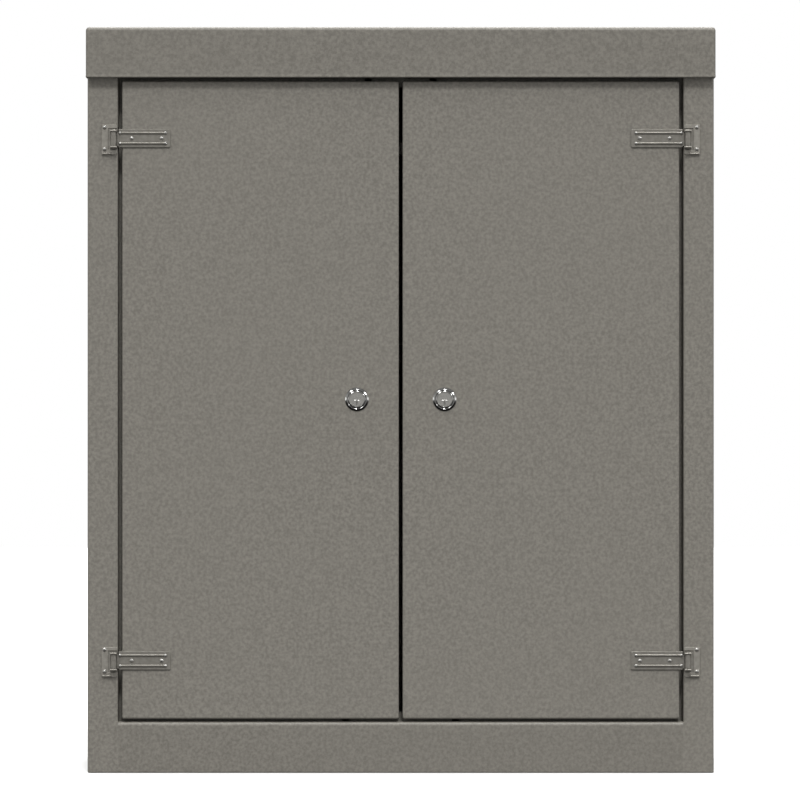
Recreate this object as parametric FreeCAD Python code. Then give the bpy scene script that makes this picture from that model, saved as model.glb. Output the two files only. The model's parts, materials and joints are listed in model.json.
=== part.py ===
"""Low two-door steel gun cabinet, in millimetres.

+Z is up and +X is to the right as seen from the front, which faces -Y.  The
origin is the centre of the base, on the floor.  Left-hand pieces are made at
negative X, and right-hand pieces are their mirror images.
"""
import FreeCAD, Part

import math
import os

V = FreeCAD.Vector

# ---------------------------------------------------------------- driving dimensions
# body shell
body_width = 1067.0
body_depth = 381.0
body_height = 1270.0
sheet = 2.0
bend = 4.5                 # outside radius of the folds
base_bend = 2.5            # outside radius of the folds round the base
stile_width = 52.0
rail_height = 87.0
base_flange = 20.0
rail_return = 15.2         # depth of the rails' flanges round the opening
rail_bend = 6.5            # outside radius of the bottom rail's top fold
stop_leg_start = 7.0       # front edge of the door stops, behind the front
rear_flange = 25.0
floor_thick = 3.0
# cap
cap_height = 86.0
cap_nose = 12.0            # how far the cap stands in front of the doors
cap_sheet = 1.3
cap_headroom = 3.0         # gap between the top panel and the cap
cap_bend = 6.5
cap_corner = 6.0
hem_height = 14.0
hem_round = 1.2
roll_height = 6.0
roll_proud = 0.25
roll_shoulder = 3.0
# doors
door_depth = 25.0
door_side_gap = 7.0
door_centre_gap = 6.5
door_top_gap = 6.0
door_bottom_gap = 5.0
door_corner = 3.5
door_bend = 3.0
door_lip = 15.0
stop_gap = 2.5
stop_width = 15.0
stiffener_offsets = (205.0, 335.0)   # from the door's free edge
stiffener_sheet = 1.5
# hinges
hinge_insets = (97.0, 99.5)  # strap centres from the door's top and bottom edges
pin_outboard = 7.3         # pin axis from the edge of the opening
pin_lift = 5.9             # pin axis in front of the doors
pin_radius = 3.45
bore_radius = 3.5
knuckle_radius = 4.7
leaf_sheet = 2.0
rivet_shank = 2.4
rivet_head = 3.6
rivet_dome = 2.3
# locks
lock_backset = 71.5        # lock centre from the door's free edge
lock_height = 544.25       # lock centre from the door's bottom edge
plug_drop = 6.4            # plug axis below the lock centre
cylinder_radius = 14.5
plug_radius = 6.3
plug_proud = 0.3
plug_nibs = (3.0, 4.05)    # beside and above the plug's axis
ring_radius = 20.3
ring_height = 4.3
ring_mouth = 12.8          # radius of the collar's mouth, over the cylinder's edge
ring_slope = 27.5          # degrees
ring_groove = (15.2, 16.2)  # inner and outer radius of the groove round its cone
groove_depth = 0.7
gear_module = 1.25
gear_teeth = 20
rod_width = 10.0
rod_thick = 4.0
rod_depth = 16.4           # behind the doors' front plane
# inside
shelf_height = 1078.0
rack_height = 720.0
rack_depth = 90.0
notch_count = 10
notch_pitch = 96.0
anchor_floor = (950.0, 240.0)
anchor_back = (800.0, 700.0)
anchor_back_height = 600.0
floor_anchor_radius = 6.5
back_anchor_radius = 5.5

# ---------------------------------------------------------------- worked out from them
half_width = body_width / 2
front = -body_depth / 2
rear = body_depth / 2
shell_top = body_height - cap_sheet - cap_headroom
wall_top = shell_top - sheet
opening_half = half_width - stile_width
opening_top = body_height - cap_height
stop_face = front + door_depth + stop_gap
door_outer = -opening_half + door_side_gap
door_inner = -door_centre_gap / 2
door_bottom = rail_height + door_bottom_gap
door_top = opening_top - door_top_gap
door_back = front + door_depth
pin_x = -opening_half - pin_outboard
hinge_levels = {"upper": door_top - hinge_insets[0], "lower": door_bottom + hinge_insets[1]}
lock_x = door_inner - lock_backset
lock_z = door_bottom + lock_height
plug_z = lock_z - plug_drop
pitch_radius = gear_module * gear_teeth / 2
cap_overhang = 2 * cap_sheet
near = 0.01


# ---------------------------------------------------------------- shared shapes
def block(x0, x1, y0, y1, z0, z1):
    return Part.makeBox(x1 - x0, y1 - y0, z1 - z0, V(x0, y0, z0))


def edges_at(shape, **planes):
    """The edges that lie wholly in every plane given, such as x=0 and z=5."""
    found = []
    for edge in shape.Edges:
        box = edge.BoundBox
        low = {"x": box.XMin, "y": box.YMin, "z": box.ZMin}
        high = {"x": box.XMax, "y": box.YMax, "z": box.ZMax}
        spread = [max(abs(low[axis] - at), abs(high[axis] - at)) for axis, at in planes.items()]
        if max(spread) < near:
            found.append(edge)
    return found


def rounded(shape, radius, *places):
    edges = []
    for planes in places:
        edges += edges_at(shape, **planes)
    return shape.makeFillet(radius, edges)


def fused(pieces):
    return pieces[0].multiFuse(pieces[1:]).removeSplitter()


def folded_sheet(points, thickness, radius):
    """Cross-section of a folded sheet in the XY plane.

    The points follow one skin of the sheet, the material lies to the left of
    the path, and radius is the outside radius of every fold, or a list of them.
    """
    path = [V(x, y, 0) for x, y in points]
    first = path[1] - path[0]
    last = path[-1] - path[-2]
    skin_line = [path[0]]
    other_line = [path[0] + left_of(first) * thickness]
    radii = radius if isinstance(radius, list) else [radius] * (len(path) - 2)
    for before, corner, after, outside in zip(path, path[1:], path[2:], radii):
        going = (corner - before).normalize()
        leaving = (after - corner).normalize()
        left_turn = going.cross(leaving).z > 0
        side = 1 if left_turn else -1
        skin_radius = outside if left_turn else outside - thickness
        other_radius = outside - thickness if left_turn else outside
        run = skin_radius * math.tan(going.getAngle(leaving) / 2)
        centre = corner - going * run + left_of(going) * side * skin_radius
        rays = [left_of(going) * -side, left_of(going) * -side + left_of(leaving) * -side]
        rays.append(left_of(leaving) * -side)
        rays[1].normalize()
        skin_line.append([centre + ray * skin_radius for ray in rays])
        other_line.append([centre + ray * other_radius for ray in rays])
    skin_line.append(path[-1])
    other_line.append(path[-1] + left_of(last) * thickness)
    edges = line_edges(skin_line) + line_edges(other_line)
    edges.append(Part.makeLine(skin_line[0], other_line[0]))
    edges.append(Part.makeLine(skin_line[-1], other_line[-1]))
    return Part.Face(Part.Wire(Part.__sortEdges__(edges)))


def left_of(direction):
    return V(-direction.y, direction.x, 0).normalize()


def line_edges(line):
    """Straight edges between the points of a line, and arcs where it holds a triple."""
    edges = []
    at = line[0]
    for stop in line[1:]:
        if isinstance(stop, list):
            edges.append(Part.makeLine(at, stop[0]))
            edges.append(Part.Arc(*stop).toShape())
            at = stop[2]
        else:
            edges.append(Part.makeLine(at, stop))
    return edges


def sheet_along_z(points, thickness, z0, z1, radius=bend):
    """Folded sheet of XY section between two heights."""
    solid = folded_sheet(points, thickness, radius).extrude(V(0, 0, z1 - z0))
    solid.translate(V(0, 0, z0))
    return solid


def sheet_along_x(points, thickness, x0, x1, radius=bend):
    """Folded sheet of YZ section between two places along X."""
    solid = folded_sheet(points, thickness, radius).extrude(V(0, 0, x1 - x0))
    solid.Placement = FreeCAD.Placement(V(x0, 0, 0), FreeCAD.Rotation(V(1, 1, 1), 120))
    return solid


def hole(x, z, radius):
    """A drill through the doors, the face frame or the back, along Y."""
    return Part.makeCylinder(radius, body_depth / 2, V(x, front - body_depth / 8, z), V(0, 1, 0))


def disc(x, z, radius, depth0, depth1):
    """A round along Y, between two depths behind the doors' front plane."""
    return Part.makeCylinder(radius, depth1 - depth0, V(x, front + depth0, z), V(0, 1, 0))


def dome(x, y, z, radius, height, facing):
    """Round head on the plane y, rising towards facing (+1 is +Y, -1 is -Y)."""
    ball_radius = (radius ** 2 + height ** 2) / (2 * height)
    ball = Part.makeSphere(ball_radius, V(x, y - facing * (ball_radius - height), z))
    room = 2 * ball_radius
    low, high = (y, y + room) if facing > 0 else (y - room, y)
    return ball.common(block(x - room, x + room, low, high, z - room, z + room))


def riveted(x, z, head_face, tail_face, facing):
    """A rivet along Y: round head, shank through the sheets, flat upset tail."""
    tail_height = 1.4
    head = dome(x, head_face, z, rivet_head, rivet_dome, facing)
    grip = tail_face - head_face
    shank = Part.makeCylinder(rivet_shank, abs(grip), V(x, head_face, z), V(0, -facing, 0))
    tail = Part.makeCylinder(rivet_head - 0.4, tail_height, V(x, tail_face, z), V(0, -facing, 0))
    return fused([head, shank, tail])


def mirrored(shape):
    return shape.mirror(V(0, 0, 0), V(1, 0, 0))


# ---------------------------------------------------------------- body shell
def side_panel():
    """Side wall with its stile, flanges and door stop, folded from one sheet."""
    corner = {"x": -half_width}
    outer = block(-half_width, -opening_half, front, rear, 0, wall_top)
    outer = rounded(outer, bend, dict(corner, y=front), dict(corner, y=rear))
    outer = rounded(outer, base_bend, dict(corner, z=0))
    wall = -half_width + sheet
    inside = block(wall, -opening_half, front + sheet, rear - sheet, sheet, wall_top)
    inside = rounded(inside, bend - sheet, dict(x=wall, y=front + sheet), dict(x=wall, y=rear - sheet))
    shell = outer.cut(rounded(inside, base_bend - sheet, dict(x=wall, z=sheet)))
    beyond_base = block(-half_width + base_flange, -opening_half, front + base_flange, rear, 0, sheet)
    beyond_rear = block(-half_width + rear_flange, -opening_half, rear - sheet, rear, 0, wall_top)
    shell = shell.cut(beyond_base).cut(beyond_rear)
    edge = -opening_half - 2 * bend
    shell = shell.cut(block(edge, -opening_half, front, front + sheet, rail_height, opening_top))
    turn_in = [(edge, front), (-opening_half, front), (-opening_half, stop_face)]
    turn_in.append((-opening_half + stop_width, stop_face))
    stop = sheet_along_z(turn_in, sheet, rail_height, opening_top)
    panel = fused([shell, stop])
    for level in hinge_levels.values():
        for x, z in frame_rivet_places(level):
            panel = panel.cut(hole(x, z, rivet_shank + 0.1))
    return panel


def back_panel():
    """Flat back, against the side panels' rear flanges, with four wall anchor holes."""
    edge = half_width - bend - 0.5
    panel = block(-edge, edge, rear - 2 * sheet, rear - sheet, bend + 0.5, wall_top)
    across, up = anchor_back
    for x in (-across / 2, across / 2):
        for z in (anchor_back_height - up / 2, anchor_back_height + up / 2):
            panel = panel.cut(Part.makeCylinder(back_anchor_radius, body_depth, V(x, 0, z), V(0, 1, 0)))
    for x, z in rack_rivet_places():
        panel = panel.cut(Part.makeCylinder(rivet_shank + 0.1, body_depth, V(x, 0, z), V(0, 1, 0)))
    return panel


def floor_panel():
    """Base plate between the folded flanges, with four floor anchor holes."""
    edge = half_width - base_flange
    panel = block(-edge, edge, front + base_flange, rear - bend, 0, floor_thick)
    across, deep = anchor_floor
    for x in (-across / 2, across / 2):
        for y in (-deep / 2, deep / 2):
            panel = panel.cut(Part.makeCylinder(floor_anchor_radius, floor_thick, V(x, y, 0)))
    return panel


def top_panel():
    """Flat top under the cap."""
    panel = block(-half_width, half_width, front, rear, wall_top, shell_top)
    return rounded(panel, bend, *[dict(x=x, y=y) for x in (-half_width, half_width) for y in (front, rear)])


def rod_slot(x, z, spare):
    """Room round a locking rod's section at a height, spare on each side."""
    near_face = front + rod_depth - spare
    far_face = front + rod_depth + rod_thick + spare
    reach = rod_width / 2 + spare
    return block(x - reach, x + reach, near_face, far_face, z - 2 * sheet, z + 2 * sheet)


def header_rail():
    """Top of the face frame, behind the cap: a channel with short flanges."""
    section = [(front + base_flange, wall_top), (front, wall_top), (front, opening_top)]
    section += [(front + rail_return, opening_top)]
    return sheet_along_x(section, sheet, -opening_half, opening_half)


def bottom_rail():
    """Deep bottom rail: a channel with a turned-back top edge and a base flange."""
    section = [(front + rail_return, rail_height), (front, rail_height), (front, 0)]
    section += [(front + base_flange, 0)]
    return sheet_along_x(section, sheet, -opening_half, opening_half, [rail_bend, base_bend])


def door_stop(level, inward, rod_place):
    """Angle welded inside a rail's return, in three lengths that leave a gap for each rod.

    inward is +1 where the opening is above the rail, -1 where it is below.
    """
    leg = level - inward * sheet
    lip = level + inward * stop_width
    section = [(front + stop_leg_start, leg), (stop_face, leg), (stop_face, lip)]
    if inward > 0:
        section.reverse()
    stop = sheet_along_x(section, sheet, -opening_half, opening_half)
    low, high = sorted((level, lip))
    for side in (-1, 1):
        near_end, far_end = sorted((side * opening_half, side * (opening_half - stop_width)))
        stop = stop.cut(block(near_end, far_end, front, rear, low, high))
        middle = side * rod_place
        half_gap = rod_width / 2 + 1.0
        gap = (middle - half_gap, middle + half_gap, front, rear)
        stop = stop.cut(block(*gap, low - 2 * sheet, high + 2 * sheet))
    return stop


def cap_block(inset, z0, z1, corner, y_front=None):
    """Block as large as the cap, less inset all round, with rounded upright corners."""
    x = half_width + cap_overhang - inset
    y_rear = rear + cap_overhang - inset
    if y_front is None:
        y_front = front - cap_nose + inset
    upright = [dict(x=a, y=b) for a in (-x, x) for b in (y_front, y_rear)]
    return rounded(block(-x, x, y_front, y_rear, z0, z1), corner, *upright)


def top_cap():
    """Inverted pan over the body: rolled hem all round, and a return behind the nose."""
    skin = cap_block(roll_proud, opening_top, body_height, cap_corner)
    skin = rounded(skin, cap_bend, dict(z=body_height))
    roll = cap_block(0, opening_top, opening_top + roll_height, cap_corner + roll_proud)
    outer = skin.fuse(rounded(roll, roll_shoulder, dict(z=opening_top + roll_height)))
    ceiling = body_height - cap_sheet
    hem_top = opening_top + hem_height
    return_top = opening_top + cap_sheet
    hollow = cap_block(roll_proud + cap_sheet, hem_top, ceiling, cap_corner - cap_sheet)
    hollow = rounded(hollow, cap_bend - cap_sheet, dict(z=ceiling))
    throat = cap_block(2 * cap_sheet, return_top, hem_top, cap_corner - 2 * cap_sheet)
    mouth = cap_block(2 * cap_sheet, opening_top, return_top, cap_corner - 2 * cap_sheet, front)
    cap = outer.cut(hollow).cut(throat).cut(mouth)
    return rounded(cap, hem_round, dict(z=opening_top))


def door_bumpers():
    """Rubber buttons on the upper and lower door stops."""
    solids = []
    radius = 4.0
    height = 2.0
    for x in (-400.0, -30.0, 30.0, 400.0):
        for z in (door_bottom + radius, door_top - radius):
            button = Part.makeCylinder(radius, height, V(x, stop_face - height, z), V(0, 1, 0))
            solids.append(rounded(button, 0.8, dict(y=stop_face - height)))
    return Part.makeCompound(solids)


# ---------------------------------------------------------------- inside
def shelf():
    """Full-width shelf with a folded front edge and an upturned back edge."""
    edge = half_width - sheet - 2.0
    back = rear - 2 * sheet - 3.5
    lip = -120.0
    section = [(back, shelf_height + 12), (back, shelf_height), (lip, shelf_height)]
    section += [(lip, shelf_height - 22), (lip + 15, shelf_height - 22)]
    return sheet_along_x(section, stiffener_sheet, -edge, edge, 3.0)


def shelf_brackets():
    """Angle brackets on the side walls, under the shelf."""
    leg = 25.0
    wall = -half_width + sheet
    under = shelf_height - stiffener_sheet
    solids = []
    for y in (-80.0, 100.0):
        section = [(wall, under - leg), (wall + sheet, under - leg), (wall + sheet, under - sheet)]
        section += [(wall + leg, under - sheet), (wall + leg, under), (wall, under)]
        outline = Part.makePolygon([V(a, y, b) for a, b in section + section[:1]])
        bracket = Part.Face(outline).extrude(V(0, 40, 0))
        solids += [bracket, mirrored(bracket)]
    return Part.makeCompound(solids)


def notch_places():
    return [notch_pitch * (i - (notch_count - 1) / 2) for i in range(notch_count)]


def notch(x, y0, y1, width):
    """A U-shaped notch, open at y0, whose round end reaches y1."""
    radius = width / 2
    low, high = rack_height - 40, rack_height + 20
    straight = block(x - radius, x + radius, y0, y1 - radius, low, high)
    return straight.fuse(Part.makeCylinder(radius, high - low, V(x, y1 - radius, low)))


def barrel_rack():
    """Ledge on the back panel with a row of notches for barrels."""
    back = rear - 3 * sheet
    edge = back - rack_depth
    section = [(back, rack_height + 40), (back, rack_height), (edge, rack_height), (edge, rack_height - 20)]
    rack = sheet_along_x(section, sheet, -490, 490)
    notches = [notch(x, edge, edge + 54, 46) for x in notch_places()]
    rivets = [Part.makeCylinder(rivet_shank + 0.1, body_depth, V(x, 0, z), V(0, 1, 0))
              for x, z in rack_rivet_places()]
    return rack.cut(Part.makeCompound(notches + rivets))


def barrel_rack_pad():
    """Foam strip on the ledge, with narrower notches than the steel under it."""
    edge = rear - 3 * sheet - rack_depth - 6
    pad = block(-488, 488, edge, edge + 68, rack_height, rack_height + 12)
    return pad.cut(Part.makeCompound([notch(x, edge, edge + 50, 34) for x in notch_places()]))


def rack_rivet_places():
    return [(x, rack_height + 24) for x in (-450.0, -240.0, -48.0, 48.0, 240.0, 450.0)]


def rack_rivets():
    face = rear - 3 * sheet
    return Part.makeCompound([riveted(x, z, face, face + 2 * sheet, -1) for x, z in rack_rivet_places()])


def floor_mat():
    """Rubber mat for the butts, between the floor anchor holes."""
    return block(-440, 440, -150, 170, floor_thick, floor_thick + 5)


# ---------------------------------------------------------------- hinges
ear_level = 12.2           # inner face of a frame leaf's ear, from the knuckle's middle
ear_height = 3.2
ear_half = 5.9
ear_round = 1.4
ear_gap = 0.5
step_thick = 0.8           # stock left under the knuckle, in the frame leaf
knuckle_middle = -1.5      # the knuckles' middle, from the strap's middle
leaf_top = 23.0
leaf_bottom = -28.0
leaf_outer = -20.5
leaf_inner = 6.0
leaf_groove = -9.5
foot_end = 0.8
strap_start = 8.5
strap_end = 96.5
strap_half = 15.6
bead_level = 8.85
bead_radius = 2.2
bead_height = 1.8


def frame_rivet_places(level):
    return [(pin_x - 15.4, level + 18.7), (pin_x - 15.4, level - 18.7)]


def strap_rivet_places(level):
    return [(pin_x + 30.8, level), (pin_x + 81.7, level)]


def upright_tube(level, low, high, outer, inner):
    """Hinge knuckle on the pin axis, between two heights from the strap's middle."""
    foot = V(pin_x, front - pin_lift, level + low)
    tube = Part.makeCylinder(outer, high - low, foot)
    return tube.cut(Part.makeCylinder(inner, high - low, foot)) if inner else tube


def leaf_block(level, x0, x1, rise, z0, z1, off=0.0):
    """Flat stock on the face, from the pin axis: rise is how far it stands off."""
    return block(pin_x + x0, pin_x + x1, front - rise, front - off, level + z0, level + z1)


def frame_leaf(level):
    """Leaf on the stile: plate stepped down round the knuckle, two ears, turned foot."""
    low_ear = knuckle_middle - ear_level - ear_height
    high_ear = knuckle_middle + ear_level
    plate = leaf_block(level, leaf_outer, leaf_inner, leaf_sheet, leaf_bottom, leaf_top)
    small_corners = [dict(x=pin_x + x, z=level + z) for x, z in ((leaf_outer, leaf_bottom),
                     (leaf_outer, leaf_top), (leaf_inner, leaf_top))]
    plate = rounded(plate, 1.5, *small_corners)
    plate = rounded(plate, 4.0, dict(x=pin_x + leaf_inner, z=level + leaf_bottom))
    step_ends = (low_ear - 3, high_ear + ear_height + 3)
    step = leaf_block(level, leaf_groove, leaf_inner, leaf_sheet, *step_ends, step_thick)
    plate = rounded(plate.cut(step), 0.5, dict(y=front - leaf_sheet))
    foot_rise = leaf_sheet + 1.6
    foot = leaf_block(level, leaf_outer + 0.7, foot_end, foot_rise, leaf_bottom + 0.4, leaf_bottom + 3.0)
    foot = rounded(foot, 1.2, dict(y=front - foot_rise))
    pieces = [plate, foot]
    for ear in (low_ear, high_ear):
        rise = pin_lift + ear_half
        lug = leaf_block(level, -ear_half, ear_half, rise, ear, ear + ear_height, 0.2)
        pieces.append(rounded(lug, ear_round, dict(y=front - rise)))
    leaf = fused(pieces)
    leaf = leaf.cut(upright_tube(level, leaf_bottom, leaf_top, bore_radius, 0))
    for x, z in frame_rivet_places(level):
        leaf = leaf.cut(hole(x, z, rivet_shank + 0.1))
    return leaf


def strap_leaf(level):
    """Leaf on the door: strap with two long beads, and one knuckle between the ears."""
    low = knuckle_middle - ear_level + ear_gap
    high = knuckle_middle + ear_level - ear_gap
    plate = leaf_block(level, strap_start, strap_end, leaf_sheet, -strap_half, strap_half)
    plate = rounded(plate, 1.8, *[dict(x=pin_x + strap_end, z=level + z) for z in (-strap_half, strap_half)])
    plate = rounded(plate, 0.7, dict(y=front - leaf_sheet))
    pieces = [plate, leaf_block(level, 0, strap_start + 1, leaf_sheet + 0.4, low, high, step_thick + 0.4)]
    pieces.append(upright_tube(level, low, high, knuckle_radius, 0))
    for side in (-bead_level, bead_level):
        pieces.append(bead(level + side))
    leaf = fused(pieces)
    leaf = leaf.cut(upright_tube(level, low, high, bore_radius, 0))
    for x, z in strap_rivet_places(level):
        leaf = leaf.cut(hole(x, z, rivet_shank + 0.1))
    return leaf


def bead(z):
    """Long embossed ridge with round ends on the strap."""
    x0 = pin_x + strap_start + 2.4
    x1 = pin_x + strap_end - 8.5
    y = front - leaf_sheet - bead_height + bead_radius
    ridge = fused([Part.makeCylinder(bead_radius, x1 - x0, V(x0, y, z), V(1, 0, 0)),
                   Part.makeSphere(bead_radius, V(x0, y, z)),
                   Part.makeSphere(bead_radius, V(x1, y, z))])
    stock = front - leaf_sheet
    return ridge.common(block(x0 - 5, x1 + 5, stock - 5, stock + 1, z - 5, z + 5))


def hinge_pin(level):
    """Pin through both ears, with a low round head at each end."""
    low = knuckle_middle - ear_level - ear_height
    high = knuckle_middle + ear_level + ear_height
    head = 1.2
    pin = upright_tube(level, low, high, pin_radius, 0)
    heads = [upright_tube(level, low - head, low, 4.5, 0), upright_tube(level, high, high + head, 4.5, 0)]
    heads[0] = rounded(heads[0], 0.9, dict(z=level + low - head))
    heads[1] = rounded(heads[1], 0.9, dict(z=level + high + head))
    return fused([pin] + heads)


def face_rivets(places):
    """Rivets through a hinge leaf and the sheet behind it."""
    return [riveted(x, z, front - leaf_sheet, front + sheet, -1) for x, z in places]


def frame_leaf_rivets():
    solids = []
    for level in hinge_levels.values():
        left = face_rivets(frame_rivet_places(level))
        solids += left + [mirrored(rivet) for rivet in left]
    return Part.makeCompound(solids)


def strap_rivets():
    places = [place for level in hinge_levels.values() for place in strap_rivet_places(level)]
    return Part.makeCompound(face_rivets(places))


# ---------------------------------------------------------------- door
def upper_rod_x():
    """Upper rod's middle on the right door; the left door's is its mirror image."""
    return -(lock_x + pitch_radius + 1.25 * gear_module + rod_width / 2)


def lower_rod_x():
    return -(lock_x - pitch_radius - 1.25 * gear_module - rod_width / 2)


def door_panel():
    """Pan door: front skin, returns all round and inward lips behind."""
    outer = block(door_outer, door_inner, front, door_back, door_bottom, door_top)
    outer = rounded(outer, door_corner, *[dict(x=x, z=z) for x in (door_outer, door_inner)
                                          for z in (door_bottom, door_top)])
    outer = rounded(outer, door_bend, dict(y=front))
    hollow = block(door_outer + sheet, door_inner - sheet, front + sheet, door_back - sheet,
                   door_bottom + sheet, door_top - sheet)
    hollow = rounded(hollow, door_corner - sheet,
                     *[dict(x=x, z=z) for x in (door_outer + sheet, door_inner - sheet)
                       for z in (door_bottom + sheet, door_top - sheet)])
    hollow = rounded(hollow, door_bend - sheet, dict(y=front + sheet))
    window = block(door_outer + sheet + door_lip, door_inner - sheet - door_lip, front + sheet, door_back,
                   door_bottom + sheet + door_lip, door_top - sheet - door_lip)
    panel = outer.cut(hollow).cut(window)
    panel = panel.cut(disc(lock_x, lock_z, cylinder_radius + 0.1, 0, sheet))
    panel = panel.cut(rod_slot(-upper_rod_x(), door_top, 0.4))
    panel = panel.cut(rod_slot(-lower_rod_x(), door_bottom, 0.4))
    for level in hinge_levels.values():
        for x, z in strap_rivet_places(level):
            panel = panel.cut(disc(x, z, rivet_shank + 0.1, 0, sheet))
    return panel


def door_stiffeners():
    """Two hat-section channels welded behind the skin."""
    solids = []
    y0 = front + sheet
    y1 = y0 + 16
    for offset in stiffener_offsets:
        x = door_inner - offset
        section = [(x - 30, y0), (x - 18, y0), (x - 18, y1), (x + 18, y1), (x + 18, y0), (x + 30, y0)]
        solids.append(sheet_along_z(section, stiffener_sheet, door_bottom + 25, door_top - 25, 3.0))
    return Part.makeCompound(solids)


# ---------------------------------------------------------------- lock
cylinder_rear = 13.8       # depths behind the doors' front plane
plate_depth = 14.0
cylinder_face = -2.2
gear_width = 4.0
cover_depth = 21.2
cover_sheet = 1.2


def cone_height(radius):
    """Height of the collar's cone over the door at a radius."""
    return ring_height - (radius - ring_mouth) * math.tan(math.radians(ring_slope))


def trim_ring():
    """Chrome collar: a shallow cone with one groove, rolled in over the cylinder's edge."""
    bore = cylinder_radius + 0.15
    lip = 0.15 - cylinder_face
    near_edge, far_edge = ring_groove
    middle = (near_edge + far_edge) / 2
    section = [(bore, 0), (ring_radius, 0), (ring_radius, cone_height(ring_radius))]
    section += [(far_edge, cone_height(far_edge)), (middle, cone_height(middle) - groove_depth)]
    section += [(near_edge, cone_height(near_edge)), (ring_mouth, ring_height)]
    section += [(ring_mouth, lip), (bore, lip)]
    corners = [V(lock_x + radius, front - height, lock_z) for radius, height in section]
    outline = Part.Face(Part.makePolygon(corners + corners[:1]))
    return outline.revolve(V(lock_x, front, lock_z), V(0, 1, 0), 360)


def lock_cylinder():
    """Fixed cylinder body through the door skin, bored for the offset plug."""
    body = disc(lock_x, lock_z, cylinder_radius, cylinder_face, cylinder_rear)
    body = rounded(body, 0.5, dict(y=front + cylinder_face))
    return body.cut(disc(lock_x, plug_z, plug_radius + 0.05, cylinder_face, cylinder_rear))


def cylinder_nut():
    """Hexagonal nut that clamps the cylinder against the back of the door skin."""
    across = 19.0
    corners = [V(lock_x + across * math.cos(math.radians(60 * i)), front + sheet,
                 lock_z + across * math.sin(math.radians(60 * i))) for i in range(7)]
    nut = Part.Face(Part.makePolygon(corners)).extrude(V(0, 5, 0))
    return nut.cut(disc(lock_x, lock_z, cylinder_radius + 0.1, 0, plate_depth))


def key_plug():
    """Turning plug: keyway below two small raised nibs in front, flat tail behind."""
    face = cylinder_face - plug_proud
    plug = disc(lock_x, plug_z, plug_radius, face, cylinder_rear)
    plug = rounded(plug, plug_proud, dict(y=front + face))
    y = front + face
    slot = block(lock_x - 1.2, lock_x + 1.2, y, y + 12, plug_z - 3.6, plug_z + 2.8)
    ward = block(lock_x - 1.2, lock_x + 2.0, y, y + 12, plug_z - 1.4, plug_z + 0.2)
    tail = block(lock_x - 1.2, lock_x + 1.2, front + cylinder_rear, front + 22.2, plug_z - 3.4, plug_z + 3.4)
    beside, above = plug_nibs
    nibs = [dome(lock_x + side * beside, y, plug_z + above, 1.3, 0.9, -1) for side in (-1, 1)]
    return fused([plug.cut(slot).cut(ward), tail] + nibs)


def polar(radius, angle):
    """A point in the pinion's plane, angle in radians from +X."""
    return V(lock_x + radius * math.cos(angle), front + rod_depth, plug_z + radius * math.sin(angle))


def involute(angle):
    return math.tan(angle) - angle


def pinion():
    """Involute pinion with a hub in the mounting plate and one in the cover."""
    pressure = math.radians(20)
    base = pitch_radius * math.cos(pressure)
    tip = pitch_radius + gear_module
    root = pitch_radius - 1.25 * gear_module
    backlash = 0.2
    half_tooth = math.pi / (2 * gear_teeth) - backlash / (2 * pitch_radius)
    steps = 5
    flank = []
    for i in range(steps + 1):
        radius = base + (tip - base) * i / steps
        flank.append((radius, half_tooth + involute(pressure) - involute(math.acos(base / radius))))
    edges = []
    for tooth in range(gear_teeth):
        middle = 2 * math.pi * tooth / gear_teeth
        rising = [polar(radius, middle - angle) for radius, angle in flank]
        falling = [polar(radius, middle + angle) for radius, angle in reversed(flank)]
        start = polar(root, middle - flank[0][1])
        end = polar(root, middle + flank[0][1])
        following = middle + 2 * math.pi / gear_teeth - flank[0][1]
        edges.append(Part.makeLine(start, rising[0]))
        edges.append(spline(rising))
        edges.append(Part.Arc(rising[-1], polar(tip, middle), falling[0]).toShape())
        edges.append(spline(falling))
        edges.append(Part.makeLine(falling[-1], end))
        halfway = middle + math.pi / gear_teeth
        edges.append(Part.Arc(end, polar(root, halfway), polar(root, following)).toShape())
    wheel = Part.Face(Part.Wire(edges)).extrude(V(0, gear_width, 0))
    behind = rod_depth + gear_width
    hub = disc(lock_x, plug_z, 7.95, plate_depth + 0.1, rod_depth)
    rear_hub = disc(lock_x, plug_z, 4.95, behind, cover_depth + cover_sheet)
    gear = wheel.fuse(hub).fuse(rear_hub)
    slot = block(lock_x - 1.25, lock_x + 1.25, front, front + 25, plug_z - 3.45, plug_z + 3.45)
    return gear.cut(slot)


def spline(points):
    curve = Part.BSplineCurve()
    curve.interpolate(points)
    return curve.toShape()


def lock_plate():
    """Hat-section bracket behind the cylinder that carries the pinion."""
    y0 = front + sheet
    y1 = front + plate_depth
    x = lock_x
    section = [(x - 54, y0), (x - 42, y0), (x - 42, y1), (x + 42, y1), (x + 42, y0), (x + 54, y0)]
    plate = sheet_along_z(section, sheet, lock_z - 48, lock_z + 48, 3.5)
    plate = plate.cut(disc(lock_x, plug_z, 8.0, plate_depth, plate_depth + sheet))
    for x, z in cover_screw_places():
        plate = plate.cut(disc(x, z, 2.05, plate_depth, plate_depth + sheet))
    return plate


def cover_screw_places():
    return [(lock_x + x, plug_z + z) for x in (-34, 34) for z in (-24, 24)]


def lock_cover():
    """Channel over the pinion and the racks, open at both ends for the rods."""
    y0 = front + plate_depth + sheet
    y1 = front + cover_depth
    x = lock_x
    section = [(x - 40, y0), (x - 28, y0), (x - 28, y1), (x + 28, y1), (x + 28, y0), (x + 40, y0)]
    cover = sheet_along_z(section, cover_sheet, plug_z - 34, plug_z + 34, 2.2)
    cover = cover.cut(disc(lock_x, plug_z, 5.0, cover_depth, cover_depth + cover_sheet))
    for x, z in cover_screw_places():
        cover = cover.cut(disc(x, z, 2.2, plate_depth + sheet, plate_depth + sheet + cover_sheet))
    return cover


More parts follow.
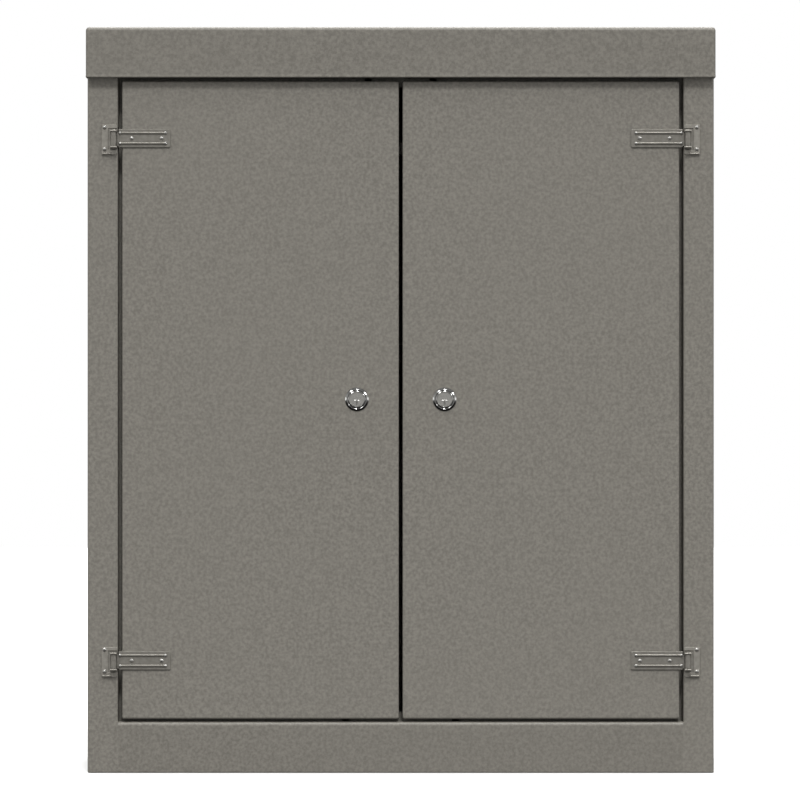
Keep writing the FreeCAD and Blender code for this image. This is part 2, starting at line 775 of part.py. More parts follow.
def cover_screws():
    """Pan-head screws with a cross slot, through the cover into the plate."""
    solids = []
    seat = plate_depth + sheet + cover_sheet
    for x, z in cover_screw_places():
        head = disc(x, z, 3.6, seat, seat + 2.2)
        head = rounded(head, 0.9, dict(y=front + seat + 2.2))
        screw = head.fuse(disc(x, z, 2.0, seat - 6, seat))
        for wide, tall in ((0.5, 2.0), (2.0, 0.5)):
            top = front + seat + 2.2
            screw = screw.cut(block(x - wide, x + wide, top - 1.2, top, z - tall, z + tall))
        solids.append(screw)
    return Part.makeCompound(solids)


def rod_guides():
    """Angle brackets on the door skin, each with a slot that guides a rod."""
    solids = []
    depth = front + rod_depth
    spare = 0.35
    places = [(-upper_rod_x(), plug_z + 120), (-upper_rod_x(), door_top - 45)]
    places += [(-lower_rod_x(), plug_z - 120), (-lower_rod_x(), door_bottom + 45)]
    for x, z in places:
        foot = block(x - 13, x + 13, front + sheet, front + sheet + 1.5, z, z + 18)
        web = block(x - 13, x + 13, front + sheet, front + 23, z, z + 1.5)
        web = rounded(web, 3.0, dict(x=x - 13, y=front + 23), dict(x=x + 13, y=front + 23))
        slot = block(x - rod_width / 2 - spare, x + rod_width / 2 + spare,
                     depth - spare, depth + rod_thick + spare, z, z + 1.5)
        solids.append(fused([foot, web]).cut(slot))
    return Part.makeCompound(solids)


def locking_rod(reach, flipped):
    """Flat rod with rack teeth beside the pinion; it ends reach from the plug's axis."""
    pitch = math.pi * gear_module
    slope = math.tan(math.radians(20))
    backlash = 0.1
    tip = pitch_radius - gear_module
    root = pitch_radius + 1.25 * gear_module
    half_tip = pitch / 4 - backlash - slope * gear_module
    half_root = pitch / 4 - backlash + slope * 1.25 * gear_module
    low_teeth = 8
    high_teeth = 3
    outline = [(root, -(low_teeth + 0.5) * pitch)]
    for tooth in range(-low_teeth, high_teeth):
        middle = (tooth + 0.5) * pitch
        outline += [(root, middle - half_root), (tip, middle - half_tip)]
        outline += [(tip, middle + half_tip), (root, middle + half_root)]
    outline += [(root, reach - 4), (root + 1.5, reach), (root + rod_width - 1.5, reach)]
    outline += [(root + rod_width, reach - 4), (root + rod_width, -(low_teeth + 0.5) * pitch)]
    points = [V(lock_x + x, front + rod_depth, plug_z + z) for x, z in outline]
    rod = Part.Face(Part.makePolygon(points + points[:1])).extrude(V(0, rod_thick, 0))
    if flipped:
        rod.rotate(V(lock_x, front, plug_z), V(0, 1, 0), 180)
    return rod


# ---------------------------------------------------------------- the whole set
def sided_pieces():
    """Left-hand pieces, by name without the side."""
    pieces = {"side_panel": side_panel(), "door_panel": door_panel(), "door_stiffeners": door_stiffeners()}
    for place, level in hinge_levels.items():
        pieces[place + "_frame_leaf"] = frame_leaf(level)
        pieces[place + "_hinge_pin"] = hinge_pin(level)
        pieces[place + "_strap_leaf"] = strap_leaf(level)
    pieces["strap_rivets"] = strap_rivets()
    pieces["trim_ring"] = trim_ring()
    pieces["lock_cylinder"] = lock_cylinder()
    pieces["cylinder_nut"] = cylinder_nut()
    pieces["key_plug"] = key_plug()
    pieces["pinion"] = pinion()
    pieces["lock_plate"] = lock_plate()
    pieces["lock_cover"] = lock_cover()
    pieces["cover_screws"] = cover_screws()
    pieces["rod_guides"] = rod_guides()
    pieces["upper_rod"] = locking_rod(door_top - 1 - plug_z, False)
    pieces["lower_rod"] = locking_rod(plug_z - door_bottom - 1, True)
    return pieces


def single_pieces():
    makers = [back_panel, floor_panel, top_panel, header_rail, bottom_rail, top_cap, door_bumpers, shelf,
              shelf_brackets, barrel_rack, barrel_rack_pad, rack_rivets, floor_mat, frame_leaf_rivets]
    pieces = {maker.__name__: maker() for maker in makers}
    pieces["upper_door_stop"] = door_stop(opening_top, -1, upper_rod_x())
    pieces["lower_door_stop"] = door_stop(rail_height, 1, lower_rod_x())
    return pieces


def main():
    nodes = single_pieces()
    for name, shape in sided_pieces().items():
        nodes["left_" + name] = shape
        nodes["right_" + name] = mirrored(shape)
    os.makedirs("parts", exist_ok=True)
    for name, shape in nodes.items():
        shape.exportStep("parts/" + name + ".step")
        print(name, len(shape.Solids), round(shape.Volume), shape.isValid())


main()
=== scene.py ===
"""Visual model of a low two-door steel gun cabinet, built around its CAD frame."""
import json
import math

import bmesh
import bpy
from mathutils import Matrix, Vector


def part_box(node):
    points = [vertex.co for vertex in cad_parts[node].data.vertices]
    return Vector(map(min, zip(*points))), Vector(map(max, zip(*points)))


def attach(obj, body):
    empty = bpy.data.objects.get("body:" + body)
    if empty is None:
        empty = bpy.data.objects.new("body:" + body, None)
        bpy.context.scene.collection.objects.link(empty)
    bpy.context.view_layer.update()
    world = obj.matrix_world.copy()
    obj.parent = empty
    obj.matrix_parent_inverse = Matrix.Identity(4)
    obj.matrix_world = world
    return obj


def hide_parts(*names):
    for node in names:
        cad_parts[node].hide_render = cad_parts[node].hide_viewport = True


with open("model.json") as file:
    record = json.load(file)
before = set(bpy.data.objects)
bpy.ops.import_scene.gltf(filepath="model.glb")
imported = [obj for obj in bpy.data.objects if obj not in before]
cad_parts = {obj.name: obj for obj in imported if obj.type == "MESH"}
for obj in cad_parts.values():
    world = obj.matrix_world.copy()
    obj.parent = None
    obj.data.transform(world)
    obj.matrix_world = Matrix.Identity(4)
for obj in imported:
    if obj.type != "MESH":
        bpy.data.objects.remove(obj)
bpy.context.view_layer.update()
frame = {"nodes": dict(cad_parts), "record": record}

MM = 0.001
nodes = frame["nodes"]


# ---------------------------------------------------------------- node graph helpers
class Graph:
    """A material's node tree, with short calls to add and join nodes."""

    def __init__(self, name):
        self.material = bpy.data.materials.new(name)
        self.material.use_nodes = True
        self.tree = self.material.node_tree
        self.shader = self.tree.nodes["Principled BSDF"]
        self.place = self.add("ShaderNodeTexCoord").outputs["Object"]

    def add(self, kind, **settings):
        node = self.tree.nodes.new(kind)
        for key, value in settings.items():
            setattr(node, key, value)
        return node

    def join(self, source, target):
        self.tree.links.new(source, target)

    def feed(self, socket, value):
        """Joins a socket to another, or sets its value."""
        if isinstance(value, bpy.types.NodeSocket):
            self.join(value, socket)
        else:
            socket.default_value = value

    def multiply(self, a, b):
        node = self.add("ShaderNodeMath", operation="MULTIPLY")
        self.feed(node.inputs[0], a)
        self.feed(node.inputs[1], b)
        return node.outputs[0]

    def noise(self, scale, detail=2.0, rough=0.5, stretch=None):
        """Noise with this many waves a metre; stretch scales the place first."""
        node = self.add("ShaderNodeTexNoise")
        place = self.place
        if stretch:
            mapping = self.add("ShaderNodeMapping")
            mapping.inputs["Scale"].default_value = stretch
            self.join(place, mapping.inputs["Vector"])
            place = mapping.outputs[0]
        self.join(place, node.inputs["Vector"])
        node.inputs["Scale"].default_value = scale
        node.inputs["Detail"].default_value = detail
        node.inputs["Roughness"].default_value = rough
        return node.outputs["Fac"]

    def spread(self, value, low, high, from_low=0.3, from_high=0.7):
        """Maps a noise value from its usual range to low..high."""
        node = self.add("ShaderNodeMapRange")
        self.feed(node.inputs["Value"], value)
        node.inputs["From Min"].default_value = from_low
        node.inputs["From Max"].default_value = from_high
        node.inputs["To Min"].default_value = low
        node.inputs["To Max"].default_value = high
        return node.outputs["Result"]

    def blend(self, factor, a, b):
        """Colour a where factor is 0, colour b where it is 1."""
        node = self.add("ShaderNodeMix", data_type="RGBA")
        self.feed(node.inputs[0], factor)
        self.feed(node.inputs[6], a)
        self.feed(node.inputs[7], b)
        return node.outputs[2]

    def bump(self, height, depth, before=None):
        """Bump by a height from 0 to 1, whose full depth is in metres."""
        node = self.add("ShaderNodeBump")
        node.inputs["Strength"].default_value = 1.0
        node.inputs["Distance"].default_value = depth
        self.join(height, node.inputs["Height"])
        if before:
            self.join(before, node.inputs["Normal"])
        return node.outputs["Normal"]

    def edges(self, radius):
        """1 near convex or concave edges within radius, 0 elsewhere."""
        bevel = self.add("ShaderNodeBevel", samples=4)
        bevel.inputs["Radius"].default_value = radius
        plain = self.add("ShaderNodeNewGeometry").outputs["Normal"]
        product = self.add("ShaderNodeVectorMath", operation="DOT_PRODUCT")
        self.join(bevel.outputs[0], product.inputs[0])
        self.join(plain, product.inputs[1])
        return self.spread(product.outputs["Value"], 1.0, 0.0, 0.75, 0.995)

    def recess(self, reach, dark=0.45, light=0.85):
        """1 deep in corners and grooves, 0 in the open; the finishes use it to paint shade there."""
        shade = self.add("ShaderNodeAmbientOcclusion", samples=6)
        shade.inputs["Distance"].default_value = reach
        return self.spread(shade.outputs["AO"], 1.0, 0.0, dark, light)

    def set(self, **inputs):
        for name, value in inputs.items():
            self.feed(self.shader.inputs[name.replace("_", " ")], value)


def rgb(red, green, blue):
    return (red, green, blue, 1.0)


def shaded(level, red, green, blue):
    return rgb(level * red, level * green, level * blue)


# ---------------------------------------------------------------- materials
def powder_coat(name, level, smoothest, roughest):
    """Warm grey satin powder coat: fine mottle, orange peel, and edges lightened as rub wear and as a
    painted edge highlight.
    """
    g = Graph(name)
    mottle = g.spread(g.noise(190, 3.0, 0.62), 0.0, 1.0, 0.36, 0.64)
    base = g.blend(mottle, shaded(level, 0.146, 0.137, 0.1195), shaded(level, 0.217, 0.2045, 0.179))
    cloud = g.multiply(g.spread(g.noise(2.6, 3.0, 0.5), 0.0, 1.0), 0.25)
    base = g.blend(cloud, base, shaded(level, 0.190, 0.1795, 0.157))
    # edges lightened, partly rub wear and partly a painted highlight along every edge
    wear_and_edge_highlight = g.multiply(g.edges(0.9 * MM), g.spread(g.noise(160, 3.0), 0.0, 0.5))
    base = g.blend(wear_and_edge_highlight, base, shaded(level, 0.28, 0.27, 0.245))
    g.set(Base_Color=base, Roughness=g.spread(g.noise(260, 2.0), smoothest, roughest))
    peel = g.bump(g.noise(620, 2.0, 0.55), 0.05 * MM)
    g.set(Normal=g.bump(g.noise(150, 2.0, 0.5), 0.05 * MM, peel), Specular_IOR_Level=0.5)
    return g.material


def stamped_steel(name, level):
    """Dull plated hinge steel: half metal, half grey film, with painted shade in the grooves."""
    g = Graph(name)
    patch = g.spread(g.noise(150, 3.0), 0.0, 1.0)
    base = g.blend(patch, shaded(level, 0.245, 0.232, 0.206), shaded(level, 0.32, 0.305, 0.274))
    # painted shade: near black where ambient occlusion finds a groove or a corner, broken up by noise
    painted_groove_shade = g.multiply(g.recess(4.0 * MM), g.spread(g.noise(260, 3.0), 0.62, 0.95))
    base = g.blend(painted_groove_shade, base, rgb(0.045, 0.042, 0.037))
    g.set(Base_Color=base, Metallic=0.55, Roughness=g.spread(g.noise(300, 3.0), 0.28, 0.40))
    lines = g.bump(g.noise(700, 2.0, 0.5, stretch=(0.2, 1.0, 3.0)), 0.004 * MM)
    g.set(Normal=g.bump(g.noise(90, 2.0), 0.03 * MM, lines))
    return g.material


def rivet_steel():
    """Bright plated rivet heads, with painted shade where they meet the leaf."""
    g = Graph("rivet_steel")
    base = g.blend(g.spread(g.noise(300, 3.0), 0.0, 1.0), rgb(0.62, 0.61, 0.58), rgb(0.74, 0.73, 0.70))
    # painted shade: darker round the foot of each head, from ambient occlusion
    base = g.blend(g.multiply(g.recess(1.5 * MM, 0.35, 0.7), 0.8), base, rgb(0.12, 0.115, 0.105))
    g.set(Base_Color=base, Metallic=0.9, Roughness=g.spread(g.noise(500, 3.0), 0.30, 0.42))
    g.set(Normal=g.bump(g.noise(900, 2.0), 0.01 * MM))
    return g.material


def bright_chrome():
    """Polished chrome, very slightly uneven, with painted shade in its groove."""
    g = Graph("bright_chrome")
    base = g.blend(g.spread(g.noise(200, 2.0), 0.0, 1.0), rgb(0.56, 0.555, 0.54), rgb(0.66, 0.655, 0.64))
    # painted shade: near black in the groove and the corners, from ambient occlusion
    base = g.blend(g.multiply(g.recess(2.6 * MM, 0.35, 0.75), 0.9), base, rgb(0.07, 0.067, 0.062))
    g.set(Base_Color=base, Metallic=1.0, Roughness=g.spread(g.noise(500, 3.0), 0.09, 0.16))
    g.set(Normal=g.bump(g.noise(1500, 2.0), 0.004 * MM))
    return g.material


def satin_nickel():
    """Satin nickel of the lock cylinder, its plug and its nut, with painted shade in the recesses."""
    g = Graph("satin_nickel")
    base = g.blend(g.spread(g.noise(400, 3.0), 0.0, 1.0), rgb(0.78, 0.765, 0.725), rgb(0.90, 0.885, 0.845))
    # painted shade: near black in the recesses, from ambient occlusion
    base = g.blend(g.multiply(g.recess(0.8 * MM, 0.5, 0.95), 0.9), base, rgb(0.04, 0.038, 0.034))
    g.set(Base_Color=base, Metallic=1.0, Roughness=g.spread(g.noise(700, 3.0), 0.24, 0.38))
    g.set(Normal=g.bump(g.noise(2500, 2.0, stretch=(1.0, 1.0, 4.0)), 0.006 * MM))
    return g.material


def glint_painted_nib():
    """Steel of the nibs over the keyway, only part metallic; its pale colour is partly the steel's own and
    partly a painted highlight.
    """
    g = Graph("glint_painted_nib")
    # pale, mostly matte colour: partly bright steel, partly a painted highlight that lights each whole nib
    base = g.blend(g.spread(g.noise(600, 2.0), 0.0, 1.0), rgb(0.74, 0.73, 0.70), rgb(0.86, 0.85, 0.82))
    g.set(Base_Color=base, Metallic=0.35, Roughness=g.spread(g.noise(900, 2.0), 0.36, 0.50))
    g.set(Normal=g.bump(g.noise(2500, 2.0), 0.004 * MM))
    return g.material


def zinc_plate():
    """Zinc-plated steel of the locking rods, the locks' inner pieces and the rack rivets."""
    g = Graph("zinc_plate")
    spangle = g.spread(g.noise(60, 4.0, 0.6), 0.0, 1.0)
    base = g.blend(spangle, rgb(0.46, 0.46, 0.45), rgb(0.62, 0.61, 0.58))
    g.set(Base_Color=base, Metallic=1.0, Roughness=g.spread(g.noise(180, 3.0), 0.28, 0.46))
    g.set(Normal=g.bump(g.noise(800, 2.0, stretch=(3.0, 3.0, 0.3)), 0.015 * MM))
    return g.material


def black_rubber():
    """Matte black rubber with a fine grain and a little dust."""
    g = Graph("black_rubber")
    dust = g.spread(g.noise(25, 4.0, 0.6), 0.0, 0.5, 0.45, 0.8)
    base = g.blend(dust, rgb(0.022, 0.022, 0.023), rgb(0.075, 0.072, 0.066))
    g.set(Base_Color=base, Roughness=g.spread(g.noise(300, 3.0), 0.62, 0.82))
    g.set(Normal=g.bump(g.noise(1400, 3.0, 0.6), 0.06 * MM))
    return g.material


def cell_foam():
    """Charcoal closed-cell foam."""
    g = Graph("cell_foam")
    cells = g.add("ShaderNodeTexVoronoi")
    g.join(g.place, cells.inputs["Vector"])
    cells.inputs["Scale"].default_value = 900
    base = g.blend(g.spread(g.noise(120, 3.0), 0.0, 1.0), rgb(0.035, 0.036, 0.040), rgb(0.060, 0.061, 0.066))
    g.set(Base_Color=base, Roughness=0.92)
    g.set(Normal=g.bump(cells.outputs["Distance"], 0.25 * MM))
    return g.material


finishes = {
    "grey_powder_coat": powder_coat("powder_coat", 1.0, 0.42, 0.54),
    "stamped_hinge": stamped_steel("stamped_steel", 1.0),
    "rivet_steel": rivet_steel(),
    "lock_chrome": bright_chrome(),
    "lock_nickel": satin_nickel(),
    "plated_steel": zinc_plate(),
    "black_rubber": black_rubber(),
    "rack_foam": cell_foam(),
}
nib_glint_finish = glint_painted_nib()


def dress_cad_nodes():
    """Gives every CAD node its finish: a darker coat on the cap and bottom rail, lighter frame leaves."""
    darker_coat = powder_coat("darker_powder_coat", 0.94, 0.33, 0.43)
    leaf_steel = stamped_steel("frame_leaf_steel", 1.3)
    for part in frame["record"]["subparts"]:
        finish = finishes[part["material_slot"]]
        if part["node"] in ("top_cap", "bottom_rail"):
            finish = darker_coat
        elif part["node"].endswith("_frame_leaf"):
            finish = leaf_steel
        mesh = nodes[part["node"]].data
        mesh.materials.clear()
        mesh.materials.append(finish)


dress_cad_nodes()


# ---------------------------------------------------------------- helpers for new pieces
def span(node):
    """A CAD node's box as its low and high corners."""
    low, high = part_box(node)
    return Vector(low), Vector(high)


def piece(name, mesh_builder, body, slot, *replaced):
    """Links a new piece, dresses it, ties it to its body and hides the nodes it stands for."""
    mesh = bpy.data.meshes.new(name)
    mesh_builder.to_mesh(mesh)
    mesh_builder.free()
    obj = bpy.data.objects.new(name, mesh)
    bpy.context.collection.objects.link(obj)
    mesh.materials.append(finishes[slot])
    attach(obj, body)
    if replaced:
        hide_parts(*replaced)
    return obj


def smooth(obj, degrees):
    """Smooth shading, kept sharp where faces meet at more than this angle."""
    for face in obj.data.polygons:
        face.use_smooth = True
    obj.data.set_sharp_from_angle(angle=math.radians(degrees))


def turns_of(count):
    """Angles of so many equal steps round a circle."""
    return [2 * math.pi * i / count for i in range(count)]


def bridge(bm, first, second):
    """Joins two closed rings of vertices with a band of faces."""
    for i in range(len(first)):
        j = (i + 1) % len(first)
        bm.faces.new((first[i], first[j], second[j], second[i]))


# ---------------------------------------------------------------- spot welds
def add_spot_weld(bm, centre, normal, radius=3.1 * MM):
    """The print of a welding electrode: a raised rim round a shallow dish, its edge sunk in the sheet."""
    normal = Vector(normal)
    across = normal.orthogonal().normalized()
    up = normal.cross(across)
    # share of the radius, and height over the sheet in millimetres
    profile = ((1.0, -0.05), (0.86, 0.28), (0.68, 0.24), (0.45, 0.08), (0.2, 0.05))
    rings = []
    for reach, rise in profile:
        ring = []
        for turn in turns_of(24):
            spoke = across * math.cos(turn) + up * math.sin(turn)
            ring.append(bm.verts.new(centre + spoke * radius * reach + normal * rise * MM))
        rings.append(ring)
    for outer, inner in zip(rings, rings[1:]):
        bridge(bm, outer, inner)
    bm.faces.new(rings[-1])


def spot_welds(name, body, places, normal):
    bm = bmesh.new()
    for place in places:
        add_spot_weld(bm, Vector(place), normal)
    smooth(piece(name, bm, body, "grey_powder_coat"), 60)


def steps(start, stop, pitch):
    """Evenly spaced places from start to stop, about a pitch apart."""
    count = max(1, round((stop - start) / pitch))
    return [start + (stop - start) * i / count for i in range(count + 1)]


def body_spot_welds():
    """Prints down the two rear flanges, from near the floor to under the cap."""
    low, high = span("right_side_panel")
    margin = 14 * MM
    first = low.z + 45 * MM
    last = high.z - 110 * MM
    levels = steps(first, last, 72 * MM)
    places = [(hand * (high.x - margin), high.y, z) for hand in (-1, 1) for z in levels]
    spot_welds("rear_flange_spot_welds", "root", places, (0, 1, 0))


def door_spot_welds(side):
    """Prints on the feet of the two stiffeners, seen from inside the open door."""
    low, high = span(side + "_door_stiffeners")
    sheet = 1.5 * MM
    foot = 6 * MM
    width = 60 * MM
    end_margin = 20 * MM
    edges = (low.x, high.x - width)
    offsets = (foot, width - foot)
    levels = steps(low.z + end_margin, high.z - end_margin, 88 * MM)
    places = [(edge + offset, low.y + sheet, z) for edge in edges for offset in offsets for z in levels]
    spot_welds(side + "_stiffener_spot_welds", side + "_door", places, (0, 1, 0))


# ---------------------------------------------------------------- lock collars
def collar(side):
    """Collar round the cylinder's edge: a crowned cone with one groove round it."""
    node = side + "_trim_ring"
    low, high = span(node)
    centre = (low + high) / 2
    # radius and height over the door, in millimetres
    cone = ((20.3, 0.0), (20.3, 0.25), (20.1, 0.5), (19.6, 0.9), (18.8, 1.5), (17.9, 2.15), (17.1, 2.7))
    groove = ((16.6, 2.98), (16.35, 2.95), (15.3, 2.2), (15.1, 2.2), (15.0, 2.6), (14.9, 3.2))
    crown = ((14.4, 3.55), (13.7, 3.92), (13.2, 4.12), (12.9, 4.0))
    mouth = ((12.8, 3.6), (12.8, 2.35), (14.65, 2.35), (14.65, 0.0))
    section = cone + groove + crown + mouth
    bm = bmesh.new()
    rings = []
    for turn in turns_of(96):
        ring = []
        for reach, height in section:
            x = centre.x + reach * MM * math.cos(turn)
            z = centre.z + reach * MM * math.sin(turn)
            ring.append(bm.verts.new((x, high.y - height * MM, z)))
        rings.append(ring)
    for ring, following in zip(rings, rings[1:] + rings[:1]):
        bridge(bm, ring, following)
    bmesh.ops.recalc_face_normals(bm, faces=bm.faces)
    obj = piece(side + "_lock_collar", bm, side + "_door", "lock_chrome", node)
    smooth(obj, 60)
    rounder = obj.modifiers.new("rounder", "SUBSURF")
    rounder.levels = 1
    rounder.render_levels = 1


def add_dome(bm, x, face, z, radius, rise):
    """Round head on the plane y = face, standing out towards the front."""
    rings = []
    for share in (1.0, 0.97, 0.88, 0.74, 0.55, 0.34, 0.14):
        y = face - rise * math.sqrt(1 - share ** 2)
        reach = radius * share
        spokes = [(math.cos(turn), math.sin(turn)) for turn in turns_of(24)]
        rings.append([bm.verts.new((x + reach * across, y, z + reach * up)) for across, up in spokes])
    for outer, inner in zip(rings, rings[1:]):
        bridge(bm, outer, inner)
    bm.faces.new(rings[-1])
    bm.faces.new(list(reversed(rings[0])))


def plug_nibs(side):
    """The two bright nibs over the keyway, on the turning plug's face."""
    low, high = span(side + "_key_plug")
    centre = (low + high) / 2
    beside = 3.0 * MM
    above = 4.1 * MM
    root = low.y + 1.0 * MM
    radius = 1.9 * MM
    rise = 1.4 * MM
    bm = bmesh.new()
    for offset in (-beside, beside):
        add_dome(bm, centre.x + offset, root, centre.z + above, radius, rise)
    bmesh.ops.recalc_face_normals(bm, faces=bm.faces)
    nibs = piece(side + "_plug_nibs", bm, side + "_plug", "lock_nickel")
    # the nibs take the pale finish whose colour is partly a painted highlight
    nibs.data.materials[0] = nib_glint_finish
    smooth(nibs, 60)


def bead_ends(side):
    """The swollen round ends of the beads pressed in the door's two straps."""
    leaf_sheet = 2.0 * MM
    leaf_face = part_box("left_door_panel")[0].y - leaf_sheet
    from_tip = (8.5 * MM, 85.6 * MM)
    bead_offset = 8.85 * MM
    radius = 2.9 * MM
    rise = 2.3 * MM
    bm = bmesh.new()
    for place in ("upper", "lower"):
        low, high = span(side + "_" + place + "_strap_leaf")
        level = (low.z + high.z) / 2
        tip = high.x if side == "left" else low.x
        inward = -1 if side == "left" else 1
        for distance in from_tip:
            for z in (level - bead_offset, level + bead_offset):
                add_dome(bm, tip + inward * distance, leaf_face, z, radius, rise)
    bmesh.ops.recalc_face_normals(bm, faces=bm.faces)
    smooth(piece(side + "_bead_ends", bm, side + "_door", "rivet_steel"), 60)


# ---------------------------------------------------------------- inside fittings
def ribbed_mat():
    """Rubber matting: rounded ribs running from side to side, inside a flat border."""
    low, high = span("floor_mat")
    border = 9 * MM
    pitch = 6.1 * MM
    inset = 0.8 * MM
    shoulder = 0.6 * MM
    ribs = int((high.y - low.y - 2 * border) / pitch)
    start = (low.y + high.y) / 2 - ribs * pitch / 2
    rib_height = 1.6 * MM
    valley = high.z - rib_height
    # share of the pitch and of the rib's height, over one rib
    foot_to_top = ((0.0, 0.0), (0.16, 0.0), (0.24, 0.62), (0.36, 0.95), (0.5, 1.0))
    top_to_foot = ((0.64, 0.95), (0.76, 0.62), (0.84, 0.0))
    profile = [(low.y + inset, low.z), (low.y, low.z + inset)]
    profile += [(low.y, valley - shoulder), (low.y + inset, valley)]
    for i in range(ribs):
        profile += [(start + (i + t) * pitch, valley + h * rib_height) for t, h in foot_to_top + top_to_foot]
    profile += [(high.y - inset, valley), (high.y, valley - shoulder)]
    profile += [(high.y, low.z + inset), (high.y - inset, low.z)]
    # place along the mat, share of the height, and whether the ribs stand there
    end_height = 0.7
    stations = ((low.x, end_height, False), (low.x + inset, 1.0, False), (low.x + border, 1.0, True),
                (high.x - border, 1.0, True), (high.x - inset, 1.0, False), (high.x, end_height, False))
    bm = bmesh.new()
    rows = []
    for x, share, ribbed in stations:
        heights = [z if ribbed else min(z, valley) for y, z in profile]
        row = [bm.verts.new((x, y, low.z + (h - low.z) * share)) for (y, z), h in zip(profile, heights)]
        rows.append(row)
    for row, following in zip(rows, rows[1:]):
        bridge(bm, row, following)
    bm.faces.new(rows[0])
    bm.faces.new(list(reversed(rows[-1])))
    bmesh.ops.recalc_face_normals(bm, faces=bm.faces)
    smooth(piece("ribbed_floor_mat", bm, "root", "black_rubber", "floor_mat"), 35)


def foam_pad():
    """Closed-cell foam on the rack: softened edges round its notches, and a slightly uneven top."""
    bm = bmesh.new()
    bm.from_mesh(nodes["barrel_rack_pad"].data)
    weld_distance = 0.01 * MM
    bmesh.ops.remove_doubles(bm, verts=bm.verts, dist=weld_distance)
    pad = piece("foam_rack_pad", bm, "root", "rack_foam", "barrel_rack_pad")
    remesh = pad.modifiers.new("voxels", "REMESH")
    remesh.mode = "VOXEL"
    remesh.voxel_size = 2.4 * MM
    remesh.use_smooth_shade = True
    soften = pad.modifiers.new("soften", "SMOOTH")
    soften.factor = 0.5
    soften.iterations = 7
    bpy.context.view_layer.update()
    graph = bpy.context.evaluated_depsgraph_get()
    shaped = bpy.data.meshes.new_from_object(pad.evaluated_get(graph))
    pad.modifiers.clear()
    pad.data = shaped
    low, high = span("barrel_rack_pad")
    middle = (low.z + high.z) / 2
    ceiling = high.z - 0.1 * MM
    swell = 0.3 * MM
    unevenness = 0.35 * MM
    # radians a metre along X and along Y, of the two crossing waves of the top
    first_x, first_y = 71, 23
    second_x, second_y = -31, 97
    for vert in shaped.vertices:
        x, y, z = vert.co
        wave = unevenness * math.sin(x * first_x + y * first_y) * math.sin(x * second_x + y * second_y)
        if z > middle:
            vert.co.z = min(ceiling, z + wave + swell)
    shaped.materials.clear()
    shaped.materials.append(finishes["rack_foam"])
    for face in shaped.polygons:
        face.use_smooth = True


body_spot_welds()
for side in ("left", "right"):
    door_spot_welds(side)
    collar(side)
    plug_nibs(side)
    bead_ends(side)
ribbed_mat()
foam_pad()


# ---------------------------------------------------------------- stage, lights and camera
def pale_floor():
    """Pale floor that the camera sees, and that the object neither mirrors nor takes light from."""
    bpy.ops.mesh.primitive_plane_add(size=24)
    plane = bpy.context.object
    plane.name = "floor"
    g = Graph("pale_floor")
    shade = g.blend(g.spread(g.noise(1.5, 2.0), 0.0, 1.0), rgb(0.66, 0.66, 0.66), rgb(0.64, 0.64, 0.64))
    g.set(Base_Color=shade, Roughness=0.8)
    plane.data.materials.append(g.material)
    plane.visible_diffuse = False
    plane.visible_glossy = False


def sun(name, azimuth, elevation, strength, softness, mirrored=True):
    """Distant soft light, azimuth in degrees from the front towards +X; gloss can leave it out."""
    light = bpy.data.lights.new(name, "SUN")
    light.energy = strength
    light.angle = math.radians(softness)
    lamp = bpy.data.objects.new(name, light)
    lamp.visible_glossy = mirrored
    bpy.context.collection.objects.link(lamp)
    around, up = math.radians(azimuth), math.radians(elevation)
    source = Vector((math.sin(around) * math.cos(up), -math.cos(around) * math.cos(up), math.sin(up)))
    lamp.rotation_euler = source.to_track_quat("Z", "Y").to_euler()


def dome(tree, height, levels, strength):
    """Background whose brightness follows height: 0 underfoot, 0.5 level, 1 overhead."""
    ramp = tree.nodes.new("ShaderNodeValToRGB")
    tree.links.new(height, ramp.inputs["Fac"])
    stops = ramp.color_ramp.elements
    while len(stops) < len(levels):
        stops.new(0.5)
    for stop, (place, level) in zip(stops, levels):
        stop.position = place
        stop.color = rgb(level, level * 0.995, level * 0.98)
    background = tree.nodes.new("ShaderNodeBackground")
    background.inputs["Strength"].default_value = strength
    tree.links.new(ramp.outputs["Color"], background.inputs["Color"])
    return background.outputs[0]


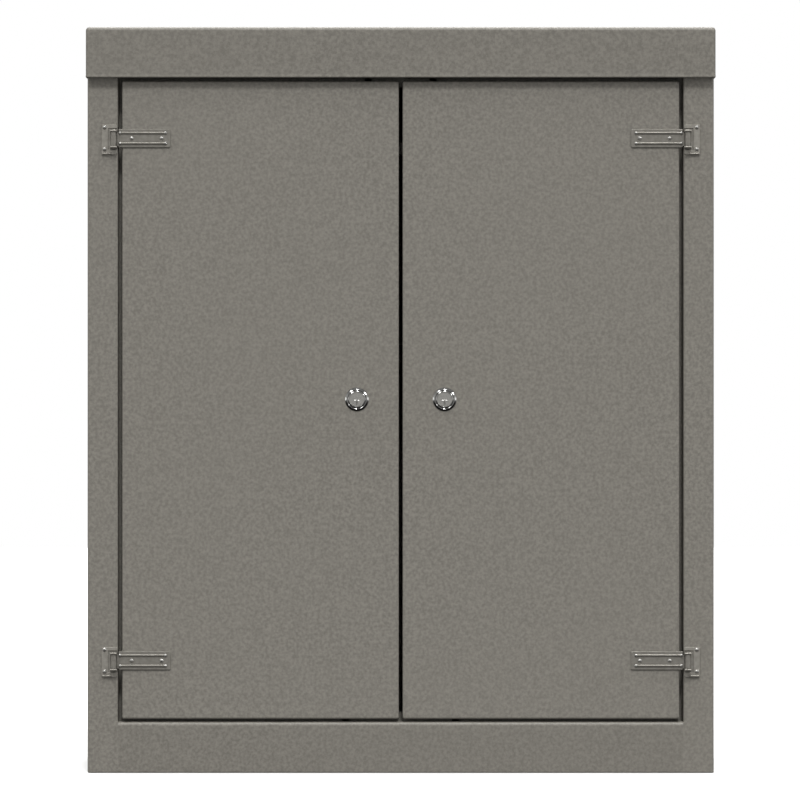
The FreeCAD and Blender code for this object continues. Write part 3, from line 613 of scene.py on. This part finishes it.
def studio_world():
    """White to the camera, a soft dome for matte light, and a darker dome for gloss."""
    world = bpy.data.worlds.new("studio")
    bpy.context.scene.world = world
    world.use_nodes = True
    tree = world.node_tree
    tree.nodes.clear()
    place = tree.nodes.new("ShaderNodeTexCoord")
    split = tree.nodes.new("ShaderNodeSeparateXYZ")
    remap = tree.nodes.new("ShaderNodeMapRange")
    remap.inputs["From Min"].default_value = -1.0
    tree.links.new(place.outputs["Generated"], split.inputs[0])
    tree.links.new(split.outputs["Z"], remap.inputs["Value"])
    height = remap.outputs["Result"]
    soft_levels = ((0.0, 0.34), (0.47, 0.36), (0.53, 0.44), (0.72, 0.54), (0.88, 0.8), (1.0, 1.0))
    gloss_levels = ((0.0, 0.01), (0.34, 0.02), (0.44, 0.12), (0.49, 0.32),
                    (0.56, 0.40), (0.70, 0.30), (0.84, 0.14), (1.0, 0.18))
    soft = dome(tree, height, soft_levels, 1.22)
    gloss = dome(tree, height, gloss_levels, 1.1)
    white = tree.nodes.new("ShaderNodeBackground").outputs[0]
    white.node.inputs["Color"].default_value = rgb(1.0, 1.0, 1.0)
    path = tree.nodes.new("ShaderNodeLightPath")
    matte = tree.nodes.new("ShaderNodeMixShader")
    tree.links.new(path.outputs["Is Diffuse Ray"], matte.inputs[0])
    tree.links.new(gloss, matte.inputs[1])
    tree.links.new(soft, matte.inputs[2])
    seen = tree.nodes.new("ShaderNodeMixShader")
    tree.links.new(path.outputs["Is Camera Ray"], seen.inputs[0])
    tree.links.new(matte.outputs[0], seen.inputs[1])
    tree.links.new(white, seen.inputs[2])
    output = tree.nodes.new("ShaderNodeOutputWorld")
    tree.links.new(seen.outputs[0], output.inputs["Surface"])


def studio():
    """The lights; the key is split, so that polished metal mirrors less of it than paint receives."""
    sun("key", 8, 58, 1.0, 9, mirrored=False)
    sun("key_glint", 8, 58, 0.9, 9)
    sun("overhead", 0, 82, 1.7, 30, mirrored=False)
    sun("left_side", -44, 46, 0.55, 16)
    sun("right_side", 61, 32, 0.42, 12)
    sun("left_strip", -78, 3, 0.06, 16)
    sun("right_strip", 78, 3, 0.06, 16)
    sun("rear_overhead", 180, 55, 2.2, 40)
    studio_world()
    bpy.context.scene.view_settings.view_transform = "Standard"


def camera():
    """Square to the front, from far enough away to be nearly parallel."""
    distance = 8.0
    view_width = 1.3625
    aim_x = -0.0012
    aim_z = 0.6352
    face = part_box("left_door_panel")[0].y
    data = bpy.data.cameras.new("camera")
    data.sensor_width = 36.0
    data.lens = data.sensor_width * distance / view_width
    eye = bpy.data.objects.new("camera", data)
    bpy.context.collection.objects.link(eye)
    eye.location = (aim_x, face - distance, aim_z)
    eye.rotation_euler = (math.pi / 2, 0, 0)
    bpy.context.scene.camera = eye


pale_floor()
studio()
camera()
